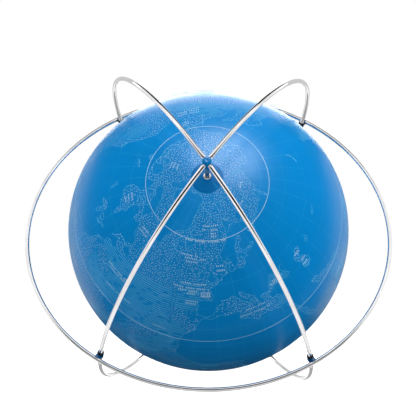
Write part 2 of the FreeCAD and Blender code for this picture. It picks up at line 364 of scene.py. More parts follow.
SHELL = plastic_finish(
    "satin_azure", (0.0004, 0.258, 0.680, 1), (0.0010, 0.272, 0.715, 1), (0.0016, 0.310, 0.760, 1),
    (0.29, 0.31), 1800.0, rub=(0.57, 0.68), specular_ior_level=0.5,
)
MOULDING = plastic_finish(
    "blue_moulding", (0.0005, 0.200, 0.540, 1), (0.001, 0.225, 0.590, 1), (0.005, 0.36, 0.76, 1),
    (0.26, 0.38), 2600.0, specular_ior_level=0.5,
)
# A darker copy of the blue moulding for the pole caps: the darker colour is painted shade on the caps'
# downward-facing cones.
SHADE_DARKENED_MOULDING = plastic_finish(
    "deep_blue_moulding", (0.0004, 0.150, 0.430, 1), (0.0008, 0.170, 0.480, 1), (0.003, 0.29, 0.66, 1),
    (0.36, 0.48), 2600.0, specular_ior_level=0.22,
)
CLIP_MOULDING = plastic_finish(
    "dark_blue_moulding", (0.0004, 0.060, 0.190, 1), (0.0008, 0.085, 0.250, 1), (0.01, 0.18, 0.42, 1),
    (0.30, 0.42), 2600.0, specular_ior_level=0.5,
)
# Black for the rings of painted shade at the mouths of the clips' sleeves, where the bores lie in shadow.
PAINTED_SHADE_BLACK = plastic_finish(
    "black_grommet", (0.004, 0.005, 0.006, 1), (0.010, 0.011, 0.013, 1), (0.05, 0.05, 0.055, 1),
    (0.42, 0.56), 2600.0, specular_ior_level=0.4,
)
NYLON = plastic_finish(
    "bearing_nylon", (0.70, 0.69, 0.64, 1), (0.78, 0.77, 0.73, 1), (0.86, 0.86, 0.84, 1),
    (0.38, 0.52), 2600.0, subsurface_weight=0.1,
)
INNER = plastic_finish(
    "inner_plastic", (0.50, 0.53, 0.57, 1), (0.58, 0.60, 0.64, 1), (0.72, 0.74, 0.77, 1),
    (0.45, 0.60), 1500.0,
)
CHROME = metal_finish(
    "bright_chrome", (0.74, 0.74, 0.75, 1), (0.90, 0.90, 0.91, 1), (0.02, 0.05), 900.0,
)
STEEL = metal_finish(
    "drawn_steel", (0.30, 0.30, 0.31, 1), (0.56, 0.55, 0.55, 1), (0.20, 0.34), 1400.0,
)


# ---- the wire cage ----------------------------------------------------------------------

CHAMFER = 0.35 * MM
SPIGOT_RADIUS = 1.5 * MM
ARM_SHOULDER = math.radians(177.32 / 2)
SPIGOT_END = math.radians(178.35 / 2)


def arm_stations():
    """Angles along an arm and the rod's radius there, from one spigot's tip to the other's."""
    nose = CHAMFER / HOOP_RADIUS
    half = [
        (SPIGOT_END, 0.0),
        (SPIGOT_END, SPIGOT_RADIUS - CHAMFER),
        (SPIGOT_END - nose, SPIGOT_RADIUS),
        (ARM_SHOULDER, SPIGOT_RADIUS),
        (ARM_SHOULDER, WIRE_RADIUS - CHAMFER),
        (ARM_SHOULDER - nose / 2, WIRE_RADIUS - CHAMFER / 4),
        (ARM_SHOULDER - nose, WIRE_RADIUS),
    ]
    middle = [(a, WIRE_RADIUS) for a in np.linspace(nose - ARM_SHOULDER, ARM_SHOULDER - nose, 241)]
    return [(-angle, radius) for angle, radius in half[:-1]] + middle + half[-2::-1]


def build_arm(side):
    azimuth, _ = heading(f"arm_{side}")
    mesh = bent_rod(f"cage_arm_{side}", HOOP_RADIUS, arm_stations(), Matrix.Rotation(azimuth, 4, "Z"))
    add_piece(mesh, "stand", CHROME, replaces=[f"arm_{side}"])


def ring_tilt():
    """How far the tilted ring leans from the globe's equator."""
    top = turning("tilted_ring")[3]
    return math.asin((top - WIRE_RADIUS) / RING_RADIUS)


def build_ring():
    """The ring's butt weld, ground nearly flush, is at the back."""
    lay_down = Matrix.Rotation(-ring_tilt(), 4, "X") @ Matrix.Rotation(math.radians(90), 4, "X")
    weld = math.radians(90)
    stations = []
    for angle in np.linspace(0, math.tau, 480, endpoint=False):
        away = (angle - weld) * RING_RADIUS
        swell = 0.04 * MM * math.exp(-((away / (1.2 * MM)) ** 2))
        stations.append((angle, WIRE_RADIUS - swell))
    mesh = bent_rod("cage_tilted_ring", RING_RADIUS, stations, lay_down)
    add_piece(mesh, "stand", CHROME, replaces=["tilted_ring"])


def build_clip(side):
    """A sleeve on an arm with a lug whose groove holds the ring. A black ring at each mouth of the sleeve
    is painted shade for the shadow inside its bore.
    """
    azimuth, latitude = heading(f"ring_clip_{side}")
    skew = math.asin(math.sin(ring_tilt()) * math.cos(azimuth))
    sleeve_angle, recess_angle = math.radians(2.1), math.radians(0.42)
    sleeve_radius, recess_radius, lug_radius = 3.35 * MM, 2.95 * MM, 3.1 * MM
    clearance = 0.03 * MM

    def rod(bend, radius, angle, place):
        half = angle / 2
        stations = [(a, radius) for a in np.linspace(-half, half, 9)]
        return bent_rod("rod", bend, [(-half, 0.0)] + stations + [(half, 0.0)], place, around=48)

    lug_outline = [
        (0.0, HOOP_RADIUS), (lug_radius, HOOP_RADIUS), (lug_radius, RING_RADIUS), (0.0, RING_RADIUS)
    ]
    lug = lathe("lug", lug_outline, looped=False, around=48)
    lug.transform(Matrix.Rotation(math.radians(90), 4, "Y"))
    cutters = [
        rod(HOOP_RADIUS, WIRE_RADIUS + clearance, sleeve_angle * 2, NORTH),
        rod(
            RING_RADIUS, WIRE_RADIUS + clearance, sleeve_angle * 2,
            Matrix.Rotation(math.radians(90) - skew, 4, "X"),
        ),
    ]
    for end in (-1, 1):
        shift = Matrix.Rotation(end * sleeve_angle / 2, 4, "Y")
        cutters.append(rod(HOOP_RADIUS, recess_radius, recess_angle * 2, shift))
    blanks = [rod(HOOP_RADIUS, sleeve_radius, sleeve_angle, NORTH), lug]
    mesh = moulded(f"moulded_clip_{side}", blanks, cutters, 0.13 * MM, 4)
    mesh.transform(Matrix.Rotation(azimuth, 4, "Z") @ Matrix.Rotation(-latitude, 4, "Y"))
    add_piece(
        mesh, "stand", CLIP_MOULDING, replaces=[f"ring_clip_{side}"], crease=60
    )
    # Black rings at both mouths of the sleeve: painted shade where the bore lies in shadow.
    for end_name, end in (("upper", -1), ("lower", 1)):
        bore, outside, half = WIRE_RADIUS + clearance, sleeve_radius + 0.05 * MM, 0.8 * MM
        outline = rounded([
            (bore, -half, 0.1 * MM), (outside, -half, 0.3 * MM),
            (outside, half, 0.3 * MM), (bore, half, 0.1 * MM),
        ], steps=4)
        painted_shade_ring = lathe(f"{end_name}_grommet_{side}", outline, around=64)
        painted_shade_ring.transform(
            Matrix.Rotation(azimuth, 4, "Z")
            @ Matrix.Rotation(end * sleeve_angle / 2 - latitude, 4, "Y")
            @ Matrix.Translation((HOOP_RADIUS, 0, 0))
        )
        add_piece(painted_shade_ring, "stand", PAINTED_SHADE_BLACK)


def build_hub(pole, place):
    """The boss that takes the four arms, with its stem and plug."""
    plug_radius, hub_radius, plug_foot, crown = turning("north_hub")
    stem_radius = 2.2 * MM
    stem_foot, neck = HOOP_RADIUS - 14.0 * MM, HOOP_RADIUS - 5.4 * MM
    boss_foot, bevel_foot = HOOP_RADIUS - 3.2 * MM, crown - 2.6 * MM
    boss_radius, crown_radius = hub_radius - 0.7 * MM, 2.3 * MM
    dimple = 0.5 * MM
    seat_depth, socket_depth = 4.3 * MM, 2.6 * MM
    fit = 0.1 * MM
    outline = rounded([
        (0.0, plug_foot, 0),
        (plug_radius, plug_foot, 0.3 * MM),
        (plug_radius, stem_foot, 0),
        (stem_radius, stem_foot, 0.15 * MM),
        (stem_radius, neck, 0.8 * MM),
        (boss_radius, boss_foot, 0.5 * MM),
        (boss_radius, bevel_foot, 0.6 * MM),
        (crown_radius, crown, 0.6 * MM),
        (0.0, crown - dimple, 0),
    ])
    blank = lathe("blank", outline, looped=False, around=64)
    cutters = []
    for side in SIDES:
        azimuth, _ = heading(f"arm_{side}")
        outward = (
            Matrix.Translation((0, 0, HOOP_RADIUS))
            @ Matrix.Rotation(azimuth, 4, "Z")
            @ Matrix.Rotation(math.radians(90), 4, "Y")
        )
        for depth, radius in ((seat_depth, WIRE_RADIUS), (socket_depth, SPIGOT_RADIUS)):
            bore, reach = radius + fit, hub_radius + MM
            hole = lathe("hole", [(0, depth), (bore, depth), (bore, reach), (0, reach)], False, 48)
            hole.transform(outward)
            cutters.append(hole)
    mesh = moulded(f"moulded_{pole}_hub", [blank], cutters, 0.14 * MM, 4)
    add_piece(mesh, "stand", MOULDING, place, [f"{pole}_hub"], crease=60)


def turned_ring(name, node, roundings, steps, around):
    """A ring as large as a CAD node. The roundings, in mm, go from the bore's foot outwards."""
    bore, outside, foot, top = turning(node)
    corners = ((bore, foot), (outside, foot), (outside, top), (bore, top))
    outline = rounded([(x, y, r * MM) for (x, y), r in zip(corners, roundings)], steps)
    return lathe(name, outline, around=around)


def build_axle():
    mesh = turned_ring("steel_axle_tube", "axle_tube", (0.25, 0.25, 0.25, 0.25), 3, 64)
    add_piece(mesh, "stand", STEEL, replaces=["axle_tube"])


def build_collar(pole, place):
    """The bright ring pressed on the axle, domed on its outer face, and the washer under it."""
    mesh = turned_ring(f"chromed_{pole}_collar", "north_collar", (0.1, 0.25, 0.8, 0.2), 6, 96)
    add_piece(mesh, "stand", CHROME, place, [f"{pole}_collar"])
    mesh = turned_ring(f"nylon_{pole}_washer", "north_thrust_washer", (0.1, 0.1, 0.1, 0.1), 3, 64)
    add_piece(mesh, "stand", NYLON, place, [f"{pole}_thrust_washer"])


# ---- the ball ---------------------------------------------------------------------------

SHELL_WALL = 2.0 * MM
BOSS_RADIUS, BOSS_FOOT = 7.0 * MM, 138.0 * MM


def build_hemisphere(pole, place):
    """Half of the hollow ball. Its seam edge has a fine chamfer, and its pole a seated hole."""
    hole_radius = turning("northern_hemisphere")[0]
    flange_radius = turning("north_pole_bush")[1]
    seat = 149.5 * MM
    inside = GLOBE_RADIUS - SHELL_WALL
    chamfer_depth, chamfer = 0.12 * MM, 0.15 * MM / GLOBE_RADIUS
    pole_edge = math.acos(flange_radius / GLOBE_RADIUS)
    boss_edge = math.acos(BOSS_RADIUS / inside)
    outline = (
        [(GLOBE_RADIUS - chamfer_depth, 0.0)]
        + arc_points(GLOBE_RADIUS, chamfer, pole_edge, 97)
        + [(flange_radius, seat), (hole_radius, seat), (hole_radius, BOSS_FOOT)]
        + [(BOSS_RADIUS, BOSS_FOOT)]
        + arc_points(inside, boss_edge, 0.0, 41)
    )
    mesh = lathe(f"printed_{pole}ern_shell", outline, around=256)
    add_piece(mesh, "globe", SHELL, place, [f"{pole}ern_hemisphere"], crease=30)


def build_cap(pole, place):
    """A shallow cone over the pole, a little hollow in its flank, with a thin raised rim."""
    hole, rim, _, top = turning("north_pole_cap")
    bush_radius, bush_top = turning("north_pole_bush")[1], turning("north_pole_bush")[3]
    gap, rim_height, flat_radius = 0.1 * MM, 0.9 * MM, 4.4 * MM
    ball = GLOBE_RADIUS + gap
    low_rim = math.sqrt(ball**2 - rim**2)
    shoulder = low_rim + rim_height
    under_edge = math.acos((bush_radius + gap) / ball)
    outline = rounded([
        (hole, bush_top + gap, 0),
        (bush_radius + gap, bush_top + gap, 0),
    ]) + arc_points(ball, under_edge, math.acos(rim / ball), 9) + rounded([
        (rim, low_rim, 0),
        (rim, shoulder, 0.25 * MM),
        (flat_radius, top, 1.6 * MM),
        (hole, top, 0.15 * MM),
        (hole, bush_top + gap, 0),
    ], steps=7)[1:-1]
    mesh = lathe(f"moulded_{pole}_cap", outline, around=192)
    add_piece(mesh, "globe", SHADE_DARKENED_MOULDING, place, [f"{pole}_pole_cap"], crease=30)


for arm_side in SIDES:
    build_arm(arm_side)
    build_clip(arm_side)
build_ring()
build_axle()
for pole_name, pole_place in POLES.items():
    build_hub(pole_name, pole_place)
    build_collar(pole_name, pole_place)
    build_hemisphere(pole_name, pole_place)
    build_cap(pole_name, pole_place)
    finish_node(f"{pole_name}_pole_bush", NYLON)
finish_node("equator_joining_band", INNER)


# ---- the map: outlines ------------------------------------------------------------------
# Drafted one by one. Each outline has its name and then its points, longitude and latitude in
# degrees. The print roughens them further.

COASTS = """
eurasia_and_africa: 26 71, 31 70, 36 69.2, 41 67.5, 40 66.3, 35 66.6, 32.5 67.1, 34.5 65, 37 64, 38 64.7,
40.5 64.7, 40 66, 42.5 66.4, 44 66, 44 68.2, 43.3 68.6, 46 68, 46 66.8, 48.5 67.6, 53 68.6, 54 68.3,
59 68.8, 61 69.7, 65 69.2, 67 68.8, 66.8 69.6, 67 71, 70 73, 72.5 72.8, 72.7 71, 72.5 69, 73.5 66.7,
74.5 68, 74 70, 74 72, 76 72, 80 72.5, 81 73.6, 87 75, 93 76, 98 76.3, 104 77.7, 106 77, 113 76, 110 74,
113.5 73.7, 119 73, 123 73, 127 73.4, 129 71, 132 71.3, 137 71.5, 140 72.6, 150 71.5, 160 69.7, 170 69.8,
176 69.8, 180 69, 190 66, 185 65, 180 65, 178.5 62.5, 175 61.8, 170 60, 165 60, 163 58, 162.5 56, 160 53,
156.8 51, 155.7 54, 156 57, 160 60.5, 163.5 62.5, 160 61.7, 155 59.3, 150 59.5, 143 59.3, 137 54.5,
141 53, 140.5 50, 140 46.5, 135 43.5, 131.5 43, 130 42, 127.5 39.8, 129.4 37, 129 35.3, 126.5 34.5,
126.7 37.5, 125 38, 124.5 40, 121.7 39, 121 40.8, 118 39, 119 37.3, 122.5 37.2, 120 36, 119.5 34.8,
121.8 32, 121.5 29.5, 119.5 25.5, 116.5 23, 113.5 22.2, 110.5 21.2, 110 20.4, 108.2 21.6, 106 19.5,
108.5 16, 109.3 12.5, 107 10.5, 105 8.7, 104.8 10.3, 102.3 12.3, 100.9 13.4, 100 13, 99.3 9.5, 100.5 7,
103.3 4, 104.2 1.4, 101.3 2.8, 100.3 5.7, 98.4 8, 98.6 12, 97.7 16, 95 15.8, 94.3 18, 92 21.3, 90.5 22.5,
87 21.5, 85 19.7, 82.3 16.7, 80.1 15.3, 80.2 13, 79.8 10.3, 78 8.3, 76.3 10, 74.8 13, 73.3 16.5,
72.8 19.2, 72.7 21, 70.5 20.8, 69 22.3, 67 24.7, 62 25.2, 57.3 25.7, 56.3 27, 52 27.8, 50.3 30, 48 30,
48.5 28.3, 50.2 26.5, 51.6 25.2, 54 24.1, 56.3 26, 56.6 24.3, 59.8 22.4, 57.8 19, 55 17, 52 15.6,
47 13.5, 43.5 12.7, 42.8 15, 41 18, 39 21.5, 36.5 26, 34.9 29.4, 32.6 29.9, 34 27.5, 35.5 24, 37.3 20.8,
38.5 18, 40 15, 43.2 11.6, 45 10.6, 51.2 11.8, 50.5 9, 48 4.5, 44 1, 41.5 -2, 39.5 -4.5, 39.3 -7,
40.5 -11, 40.6 -15, 36.5 -18.5, 35 -20, 35.5 -24, 32.7 -26, 31 -29.7, 28 -33, 25.5 -34, 20 -34.8,
18.3 -34, 17.9 -32, 15.5 -27.5, 14.4 -22, 11.8 -17.5, 13.5 -12.5, 13.3 -9, 12 -5.8, 9.5 -2.5, 9.4 0.5,
9.7 3.8, 8.5 4.6, 6.5 4.3, 4.5 6.3, 1.5 6, -2 4.8, -4 5.2, -7.6 4.4, -11 6.6, -13.2 8.6, -14.7 10.7,
-16.8 12.5, -17.4 14.7, -16.4 17.5, -16.3 20, -17 21, -16 23.8, -14.5 26.2, -13 27.8, -10.2 29.2,
-9.7 31, -8.5 33.3, -6.2 35.7, -5.3 35.8, -3 35.2, -1 35.8, 3 36.8, 8 37, 10.9 37, 11 34.5, 10.5 33.8,
13 32.9, 15.3 32.3, 19 30.3, 20.1 32.2, 23 32.7, 25 31.6, 29 30.9, 31 31.5, 32.3 31.2, 34.3 31.4, 35 33,
36 35.8, 36.1 36.7, 34 36.3, 32.5 36.1, 30.6 36.8, 28 36.7, 26.6 38.3, 26.2 39.4, 29 40.5, 29.1 41.2,
31.5 41.3, 35 42, 38 41, 41.5 41.6, 39 44, 37.3 45.5, 39.2 47.2, 35.2 46.3, 36.5 45.4, 33.6 44.5,
32.6 45.4, 33.5 46.1, 31 46.6, 29.7 45, 28.6 43.6, 27.7 42.4, 28.1 41.5, 26.5 40.6, 24 40.8, 22.8 40.4,
23 39.2, 24 38, 22.7 36.6, 21.5 37, 21.2 38.3, 19.5 40.3, 19.5 41.8, 16.5 43.3, 14 45, 12.5 45.5,
12.4 44.3, 14 42.5, 16 41.8, 18.4 40.2, 17 40.5, 16.9 39, 15.8 38, 15.6 40, 14 40.9, 12.3 41.8, 10.5 43,
8.9 44.4, 7 43.6, 4.5 43.4, 3.1 43, 3.2 42, 0.5 40.5, -0.1 38.8, -2 36.8, -5.3 36.1, -6.4 36.8, -8.9 37,
-9.4 38.8, -8.8 41.5, -9.2 43.1, -5 43.6, -1.7 43.4, -1.2 45.5, -2.5 47.3, -4.7 48.2, -1.8 48.7,
-1.6 49.7, 0.2 49.6, 1.7 50.8, 4 51.8, 5 53.2, 8.3 53.7, 8.2 55.5, 8.2 57, 10.6 57.7, 10.2 56.2,
9.8 54.8, 11 54, 13.5 54.6, 16.5 54.3, 19 54.4, 21 55.3, 21.1 57, 22.6 57.7, 24.3 57.3, 23.7 59, 28 59.6,
30 59.9, 28.5 60.7, 25 60.2, 22.8 60, 21.4 61.2, 21.3 63, 25 65, 24 65.8, 21.8 65, 18 62.7, 17.3 60.8,
18.8 59.8, 16.8 58.5, 16.3 56.6, 14.4 55.6, 12.8 55.6, 11.3 58.5, 10.5 59.4, 8 58.2, 5.6 58.9, 5 61.5,
8.5 63.8, 12.5 66, 15 68.3, 19 69.9, 23 70.5

north_america: -156.5 71.3, -150 70.5, -141 69.7, -135 69.3, -128 70, -124 69.5, -115 68.3, -108 67.8,
-98 67.8, -95 69.5, -95 72, -91 69.5, -87.5 67.2, -85.5 69.5, -82 69.5, -81.5 67.5, -86.5 66.3, -88 64,
-93.5 62, -94.7 59, -92.5 57, -87 56, -82.2 55, -82 52.9, -80 51.2, -78.8 52.5, -79.5 54.7, -77 56.5,
-78.5 58.8, -77.8 62.3, -73.5 62.3, -70 60.9, -69.5 58.9, -66 58.7, -64.5 60.3, -61.8 57.5, -57.5 54.5,
-55.8 52.3, -60 50.2, -66.5 50.2, -70 47, -65 48.8, -64.5 47, -61 45.5, -65.5 43.6, -66 45, -70 43.7,
-70 41.7, -74 40.6, -76 37, -75.6 35.3, -79 33.2, -81.4 30.7, -80.1 26.8, -80.5 25.2, -82 27, -83.8 30,
-89.5 30.2, -90.5 29.1, -94.5 29.5, -97.3 27.5, -97.5 23, -96.2 19.2, -94.5 18.2, -91 18.7, -90.4 20.8,
-87 21.5, -87.8 18.3, -88.5 15.8, -83.3 15, -83.7 11, -81 8.9, -79 9.5, -77.3 8.6, -77.8 7.2, -80 7.5,
-83 8.3, -85.7 10, -87.7 13, -92.2 14.5, -95 16, -99 16.6, -105.5 20.3, -106 22.8, -109.4 26,
-112.8 30.5, -114.7 31.6, -112.5 28, -109.6 23.2, -112.1 25, -115 28.5, -117.2 32.7, -120.6 34.6,
-123.8 39, -124.2 43, -123.9 46.3, -124.7 48.3, -122.8 49, -128 51.5, -131.5 55.5, -137 58.7, -145 60.2,
-151.5 59.5, -154 59, -158 56.3, -164.5 54.6, -158 58.5, -162 59, -166 61.8, -161 64.2, -167.5 65.6,
-162 66.6, -166.3 68.3

south_america: -77.3 8.6, -75 10.8, -71.8 12.3, -70 11.6, -68 10.7, -62 10.7, -60 8.5, -57 6, -52 5,
-50 1.5, -48.5 -0.8, -44.5 -2.6, -39.5 -3, -35.3 -5.5, -35 -9, -38.8 -13, -39.2 -17.8, -41 -22,
-44.5 -23, -48.5 -26, -50 -30, -53.5 -34, -57.5 -35, -57 -37.5, -62 -39, -65 -41, -64 -42.7, -67.5 -46,
-66 -48, -69 -51, -68.3 -53, -65.2 -54.7, -70 -55.3, -74 -52.5, -75.5 -48.5, -73.5 -42, -73.5 -37,
-71.5 -31, -70.3 -23, -70.4 -18.4, -76 -14.3, -79.5 -7.5, -81.3 -5, -80 -2.5, -80 0.8, -77.5 3.8, -77.6 7

antarctica: -180 -78, -165 -78.3, -150 -76.5, -135 -74.5, -120 -73.8, -103 -74.5, -100 -72.5, -85 -73,
-75 -72.5, -68 -68, -63 -64.5, -57 -63.3, -61 -67, -62 -73, -60 -76, -45 -78, -33 -77.5, -20 -73.5,
-8 -71, 5 -70, 20 -70, 35 -69, 45 -67.5, 55 -66, 68 -68, 72 -69.5, 80 -67.5, 95 -66.3, 110 -66,
125 -66.5, 140 -66.8, 150 -68.5, 165 -71, 170 -72, 164 -76, 168 -78

australia: 114 -22, 117 -20.7, 122 -18, 126 -14.2, 129.5 -15, 131 -12, 136.8 -12.2, 135.5 -15,
140.8 -17.5, 142.3 -10.8, 145.3 -15, 146.5 -19, 150.8 -23.3, 153.5 -28.5, 152.5 -32.3, 150 -37.3,
146.3 -39, 143.5 -38.7, 140.5 -38, 138 -35.5, 136 -34.8, 131.5 -31.5, 126 -32.3, 121 -33.9, 115.2 -34.3,
115.8 -31.8, 113.6 -26

greenland: -73 78.2, -68 80.3, -60 82, -45 82.3, -32 83.5, -22 82.5, -15 81.5, -19 79, -20 76, -22 73,
-23 70.8, -26 69, -32.5 68, -38 65.8, -41 63, -43.3 60, -48 61, -51.5 64, -53.5 67, -51 69.7, -54.5 71.5,
-58 75, -66 76, -71 77

great_britain: -5.5 50.1, -3.5 50.3, 1.3 51.1, 0.7 51.5, 1.7 52.6, 0.2 53, -0.2 54.2, -1.7 55.5, -3.2 56,
-1.9 57.5, -3.4 57.7, -3.2 58.6, -5 58.6, -5.8 57.4, -5.4 56, -4.8 55, -3.2 54.8, -3 53.6, -4.5 53.3,
-4.2 52.5, -5.2 51.8, -3 51.4, -4.3 51.1

ireland: -10 51.6, -6.4 52.2, -6 53.5, -5.6 54.6, -7.4 55.3, -8.5 54.4, -10 54.2, -9 53.2

iceland: -24 65.6, -22.5 66.4, -20.3 65.7, -16 66.5, -13.6 65.1, -18.5 63.4, -22.6 63.9

svalbard: 11 79.7, 16 80, 27 80.1, 21 78.5, 17 76.6, 13.5 78

novaya_zemlya: 51.5 71.5, 53 73.2, 56 75, 61 76.3, 68.5 76.9, 61 75.3, 56.5 73.2, 57 70.7

severnaya_zemlya: 96 79, 95 81, 100 80, 105 78.7, 100 78

new_siberian_islands: 138 74, 138 76, 146 75.5, 150 75, 143 73.4

franz_josef_land: 48 80.2, 55 81.3, 63 80.8, 56 80

sakhalin: 142 46.1, 141.9 50, 142.3 54, 143.3 52.5, 143.2 49.5, 143.5 46.8

hokkaido: 140 42, 141.5 45.3, 145.3 43.3, 143.2 42

honshu: 131 34.2, 136 35.8, 138 37.3, 140 39.8, 141.3 41.4, 142 39.5, 140.8 35.8, 137 34.6, 135.8 33.5,
132.5 34.2

kyushu: 130 33.3, 132 33.6, 134.5 34.2, 133.5 33, 131.5 31.4, 130.2 31.3

taiwan: 120.2 23, 121.5 25.2, 120.9 22

hainan: 108.7 19.3, 110.8 20, 109.6 18.3

luzon: 120 16, 120.7 18.5, 122.2 18.4, 121.6 15.8, 124 13, 121 13.7

mindanao: 122 7, 124 8.5, 125.4 9.8, 126.4 7.3, 125.4 5.7

borneo: 109 1.5, 111 2.5, 113 3.3, 115.5 5.5, 117 7, 119 5.2, 117.6 3.5, 118.8 0.9, 116.5 -1.5, 116 -3.9,
114 -3.4, 110.2 -2.8

sumatra: 95.3 5.6, 97.5 5.2, 100.3 2.5, 103.5 0, 106 -3, 105.7 -5.8, 102.3 -4, 98.8 1.6

java: 105.3 -6.6, 108.5 -6.6, 112.6 -6.9, 114.5 -8.5, 110 -8.1

sulawesi: 119.5 -5.4, 119 -2.8, 120 0.8, 125 1.5, 120.5 0.3, 121 -1.2, 123.2 -0.9, 121.5 -2.2,
122.5 -4.5, 120.5 -2.9

new_guinea: 131 -0.9, 134 -0.9, 135 -3.3, 138 -1.7, 144.5 -3.9, 147.8 -6.3, 150.8 -10.4, 147 -9.3,
144 -7.7, 138 -8.3, 138 -5.7, 133 -4

tasmania: 144.8 -40.8, 148.3 -40.9, 147.8 -43.2, 146 -43.5

new_zealand_north: 172.8 -34.5, 175.5 -36.8, 178.5 -37.7, 176.9 -39.6, 175.2 -41.5, 173.9 -39.3,
174.7 -37.8

new_zealand_south: 172.7 -40.6, 174.2 -41.7, 172.8 -43.7, 170.6 -45.9, 168.4 -46.6, 166.6 -45.8,
170.5 -42.9

madagascar: 49.3 -12, 50.4 -15.6, 47.8 -23.5, 45.2 -25.5, 43.5 -23, 44.4 -16.3

sri_lanka: 80 9.7, 81.8 7.5, 80.6 6, 79.8 7.3

sicily: 12.5 38, 15.6 38.2, 15.1 36.7

sardinia: 8.3 40.9, 9.6 41, 9.5 39.2, 8.5 39

corsica: 8.7 42.4, 9.5 42.9, 9.2 41.4

crete: 23.6 35.6, 26.3 35.2, 24 34.9

cyprus: 32.3 34.9, 34.5 35.6, 33.6 34.7

cuba: -84.8 21.9, -82 23.1, -77.5 21.8, -74.2 20.2, -77.7 19.9, -78.5 21.2, -82 22.5

hispaniola: -74.3 18.5, -72.8 19.9, -68.5 18.7, -71.5 17.8

newfoundland: -59.3 47.8, -57.5 50.6, -55.6 51.6, -55.8 49.8, -53.5 48.5, -53.2 46.7, -56 46.9

baffin_island: -65 61.8, -71.5 63.5, -77.7 64.5, -73.5 65, -72.5 67, -79 70, -89 71, -86 73.5,
-80.5 73.7, -76 72.5, -68 70.3, -62 67, -64.5 65, -66 63

victoria_island: -117 69, -107 68.8, -101.5 69.8, -105 72.8, -110 73, -118 72.5

ellesmere_island: -90 76.7, -80 76.2, -76 78.5, -64 81.5, -70 83.1, -85 82.3, -92 81, -86 79.5

banks_island: -125 72, -120.5 71.5, -116 73.5, -120 74.3, -124.5 74.2

devon_island: -96 75.3, -81 75.5, -80.5 74.7, -92 74.8

southampton_island: -87 63.6, -85 65.8, -81 64

vancouver_island: -128 50.7, -125 49.9, -123.5 48.4, -125.5 48.9
"""
LAKES = """
caspian: 47.3 44.5, 50 46.5, 53 46.8, 53 45.2, 51 44.4, 50.5 42.8, 53.5 41, 53.8 37.5, 51 36.8, 49 38,
49.5 40.3, 47.7 42.5

aral: 58.5 44, 61 46.5, 61.5 44.5, 59.5 43.6

baikal: 104 51.6, 108 53.5, 109.8 55.7, 109 53.7, 106 51.7

balkhash: 74 45.4, 79 46.7, 75 46.6

superior: -92 46.8, -88.5 48.7, -84.8 47.8, -84.7 46.6, -87.5 46.6

michigan: -87.5 41.8, -87.9 44, -86.5 45.7, -85 45.8, -86.3 43.5, -86.5 42

huron: -83.5 46, -80.8 45.6, -80 44.6, -81.7 43.3, -82.5 43.2, -83.3 44.8

erie: -83.3 41.7, -80 42.7, -78.9 42.8, -81.5 41.6

ontario: -79.7 43.3, -77.5 44, -76.3 44, -77 43.3

great_bear: -124 66, -119 67, -117.8 65.8, -121 65

great_slave: -117 61, -114 62.4, -109.5 62.8, -113 61

winnipeg: -99 53.7, -97.5 53.5, -96.3 50.5, -97.5 51.5

victoria: 31.8 -1, 33 0.3, 34.2 -0.2, 33.5 -2.3, 32 -2.6

ladoga: 30.2 61, 31 61.6, 32.8 60.8, 31.5 60
"""

# Rows of marks in place of names: first longitude, last longitude and latitude.
NAME_ROWS = """
-9 -1 71.8, 1 8 71.9, -9 -6 70.5, 0 6 70.3, 0 5 69, 0 5 68, -23 12 66.1, -24 -11 60.6, -20 -5 59.5,
-19 -10 58.3, -19 -5 50, -23 -5 48.2, -20 -9 47, -15 -9 46, -15 -9 42.9, -15 -9 41.8, 2 8 57, 2 7 55.2,
11 25 34.6, 14 24 36.8, 31 37 43.4, 29 35 42.6, 49 52 45, 50 53 41, 49.5 52.5 39, -88 -82 60.5,
-88 -82 59, -87 -81 57.5, -123 -113 78, -123 -113 76.5, -122 -114 75.3, -178 -163 57, -178 -165 55.4,
-178 -168 54, -168 -163 63.4, -168 -163 62.2, 40 55 74.5, 70 80 77.5, 150 165 76, 150 162 74.5,
-60 -52 60, -60 -50 58.6, -60 -45 39, -58 -44 37.8, -55 -40 31, -28 -22 27, -93 -86 25.5, -80 -70 15,
60 70 15, 60 68 13.6, 85 91 13, 145 158 20, 145 155 18.6, -160 -140 30, -160 -145 28.6, -150 -130 10,
-30 -14 -10, -30 -18 -11.4, -28 -10 -35, 70 92 -20, 72 88 -21.4, 60 80 -45, 112 119 -12, 155 163 -25,
-170 -150 -20, -170 -155 -21.4, -130 -100 -35, -120 -100 -50, -45 -25 -52, 20 45 -55, 100 130 -58,
-160 -130 -62
"""


# ---- the map: print ---------------------------------------------------------------------

# The azimuth of the map's zero meridian.
MAP_TURN = math.radians(-84.7)
MAP_SEED = 1712
# A coast's edge that is longer than the step is broken in two, and the middle shifts sideways by
# up to this share of the edge.
COAST_STEP = math.radians(0.45)
COAST_ROUGHNESS = 0.17
# A coarse map of what is land, with this many degrees to a cell.
RASTER = 0.5
COLUMNS, ROWS = int(360 / RASTER), int(180 / RASTER)
# The ink starts a little under the shell's surface.
INK_FOOT = -0.04 * MM
# In degrees of latitude: where the print stops short of the caps and of the seam, and how far
# apart the rows of the sea's texture are.
CAP_EDGE = math.degrees(math.acos(turning("north_pole_cap")[1] / GLOBE_RADIUS)) - 0.6
SEAM = 0.45
ROW_STEP, LAST_ROW = 0.9, 88
# The sea is ruled where its texture is above this, and dotted elsewhere. A ruled line breaks off
# by chance, and the chance of a dot is a base and a slope times the texture.
TEXTURE_SCALE = 4.2
RULED_ABOVE = 0.1
GAP_CHANCE = 0.07
DOT_CHANCE, DOT_SLOPE = 1.25, 2.2
DOT_NUDGE = 0.3
DOT_WIDTH, DOT_HEIGHT = 1.08, 0.06
# How many depth lines are tried, and the scale of the field that they follow. South of the
# latitude, most of them are left out.
DEPTH_LINES, DEPTH_SCALE = 1500, 9
THIN_SOUTH_OF, THIN_CHANCE = 62, 0.75


def table(text):
    """Rows of numbers, one for each item between commas."""
    return np.array([item.split() for item in text.split(",")], float)


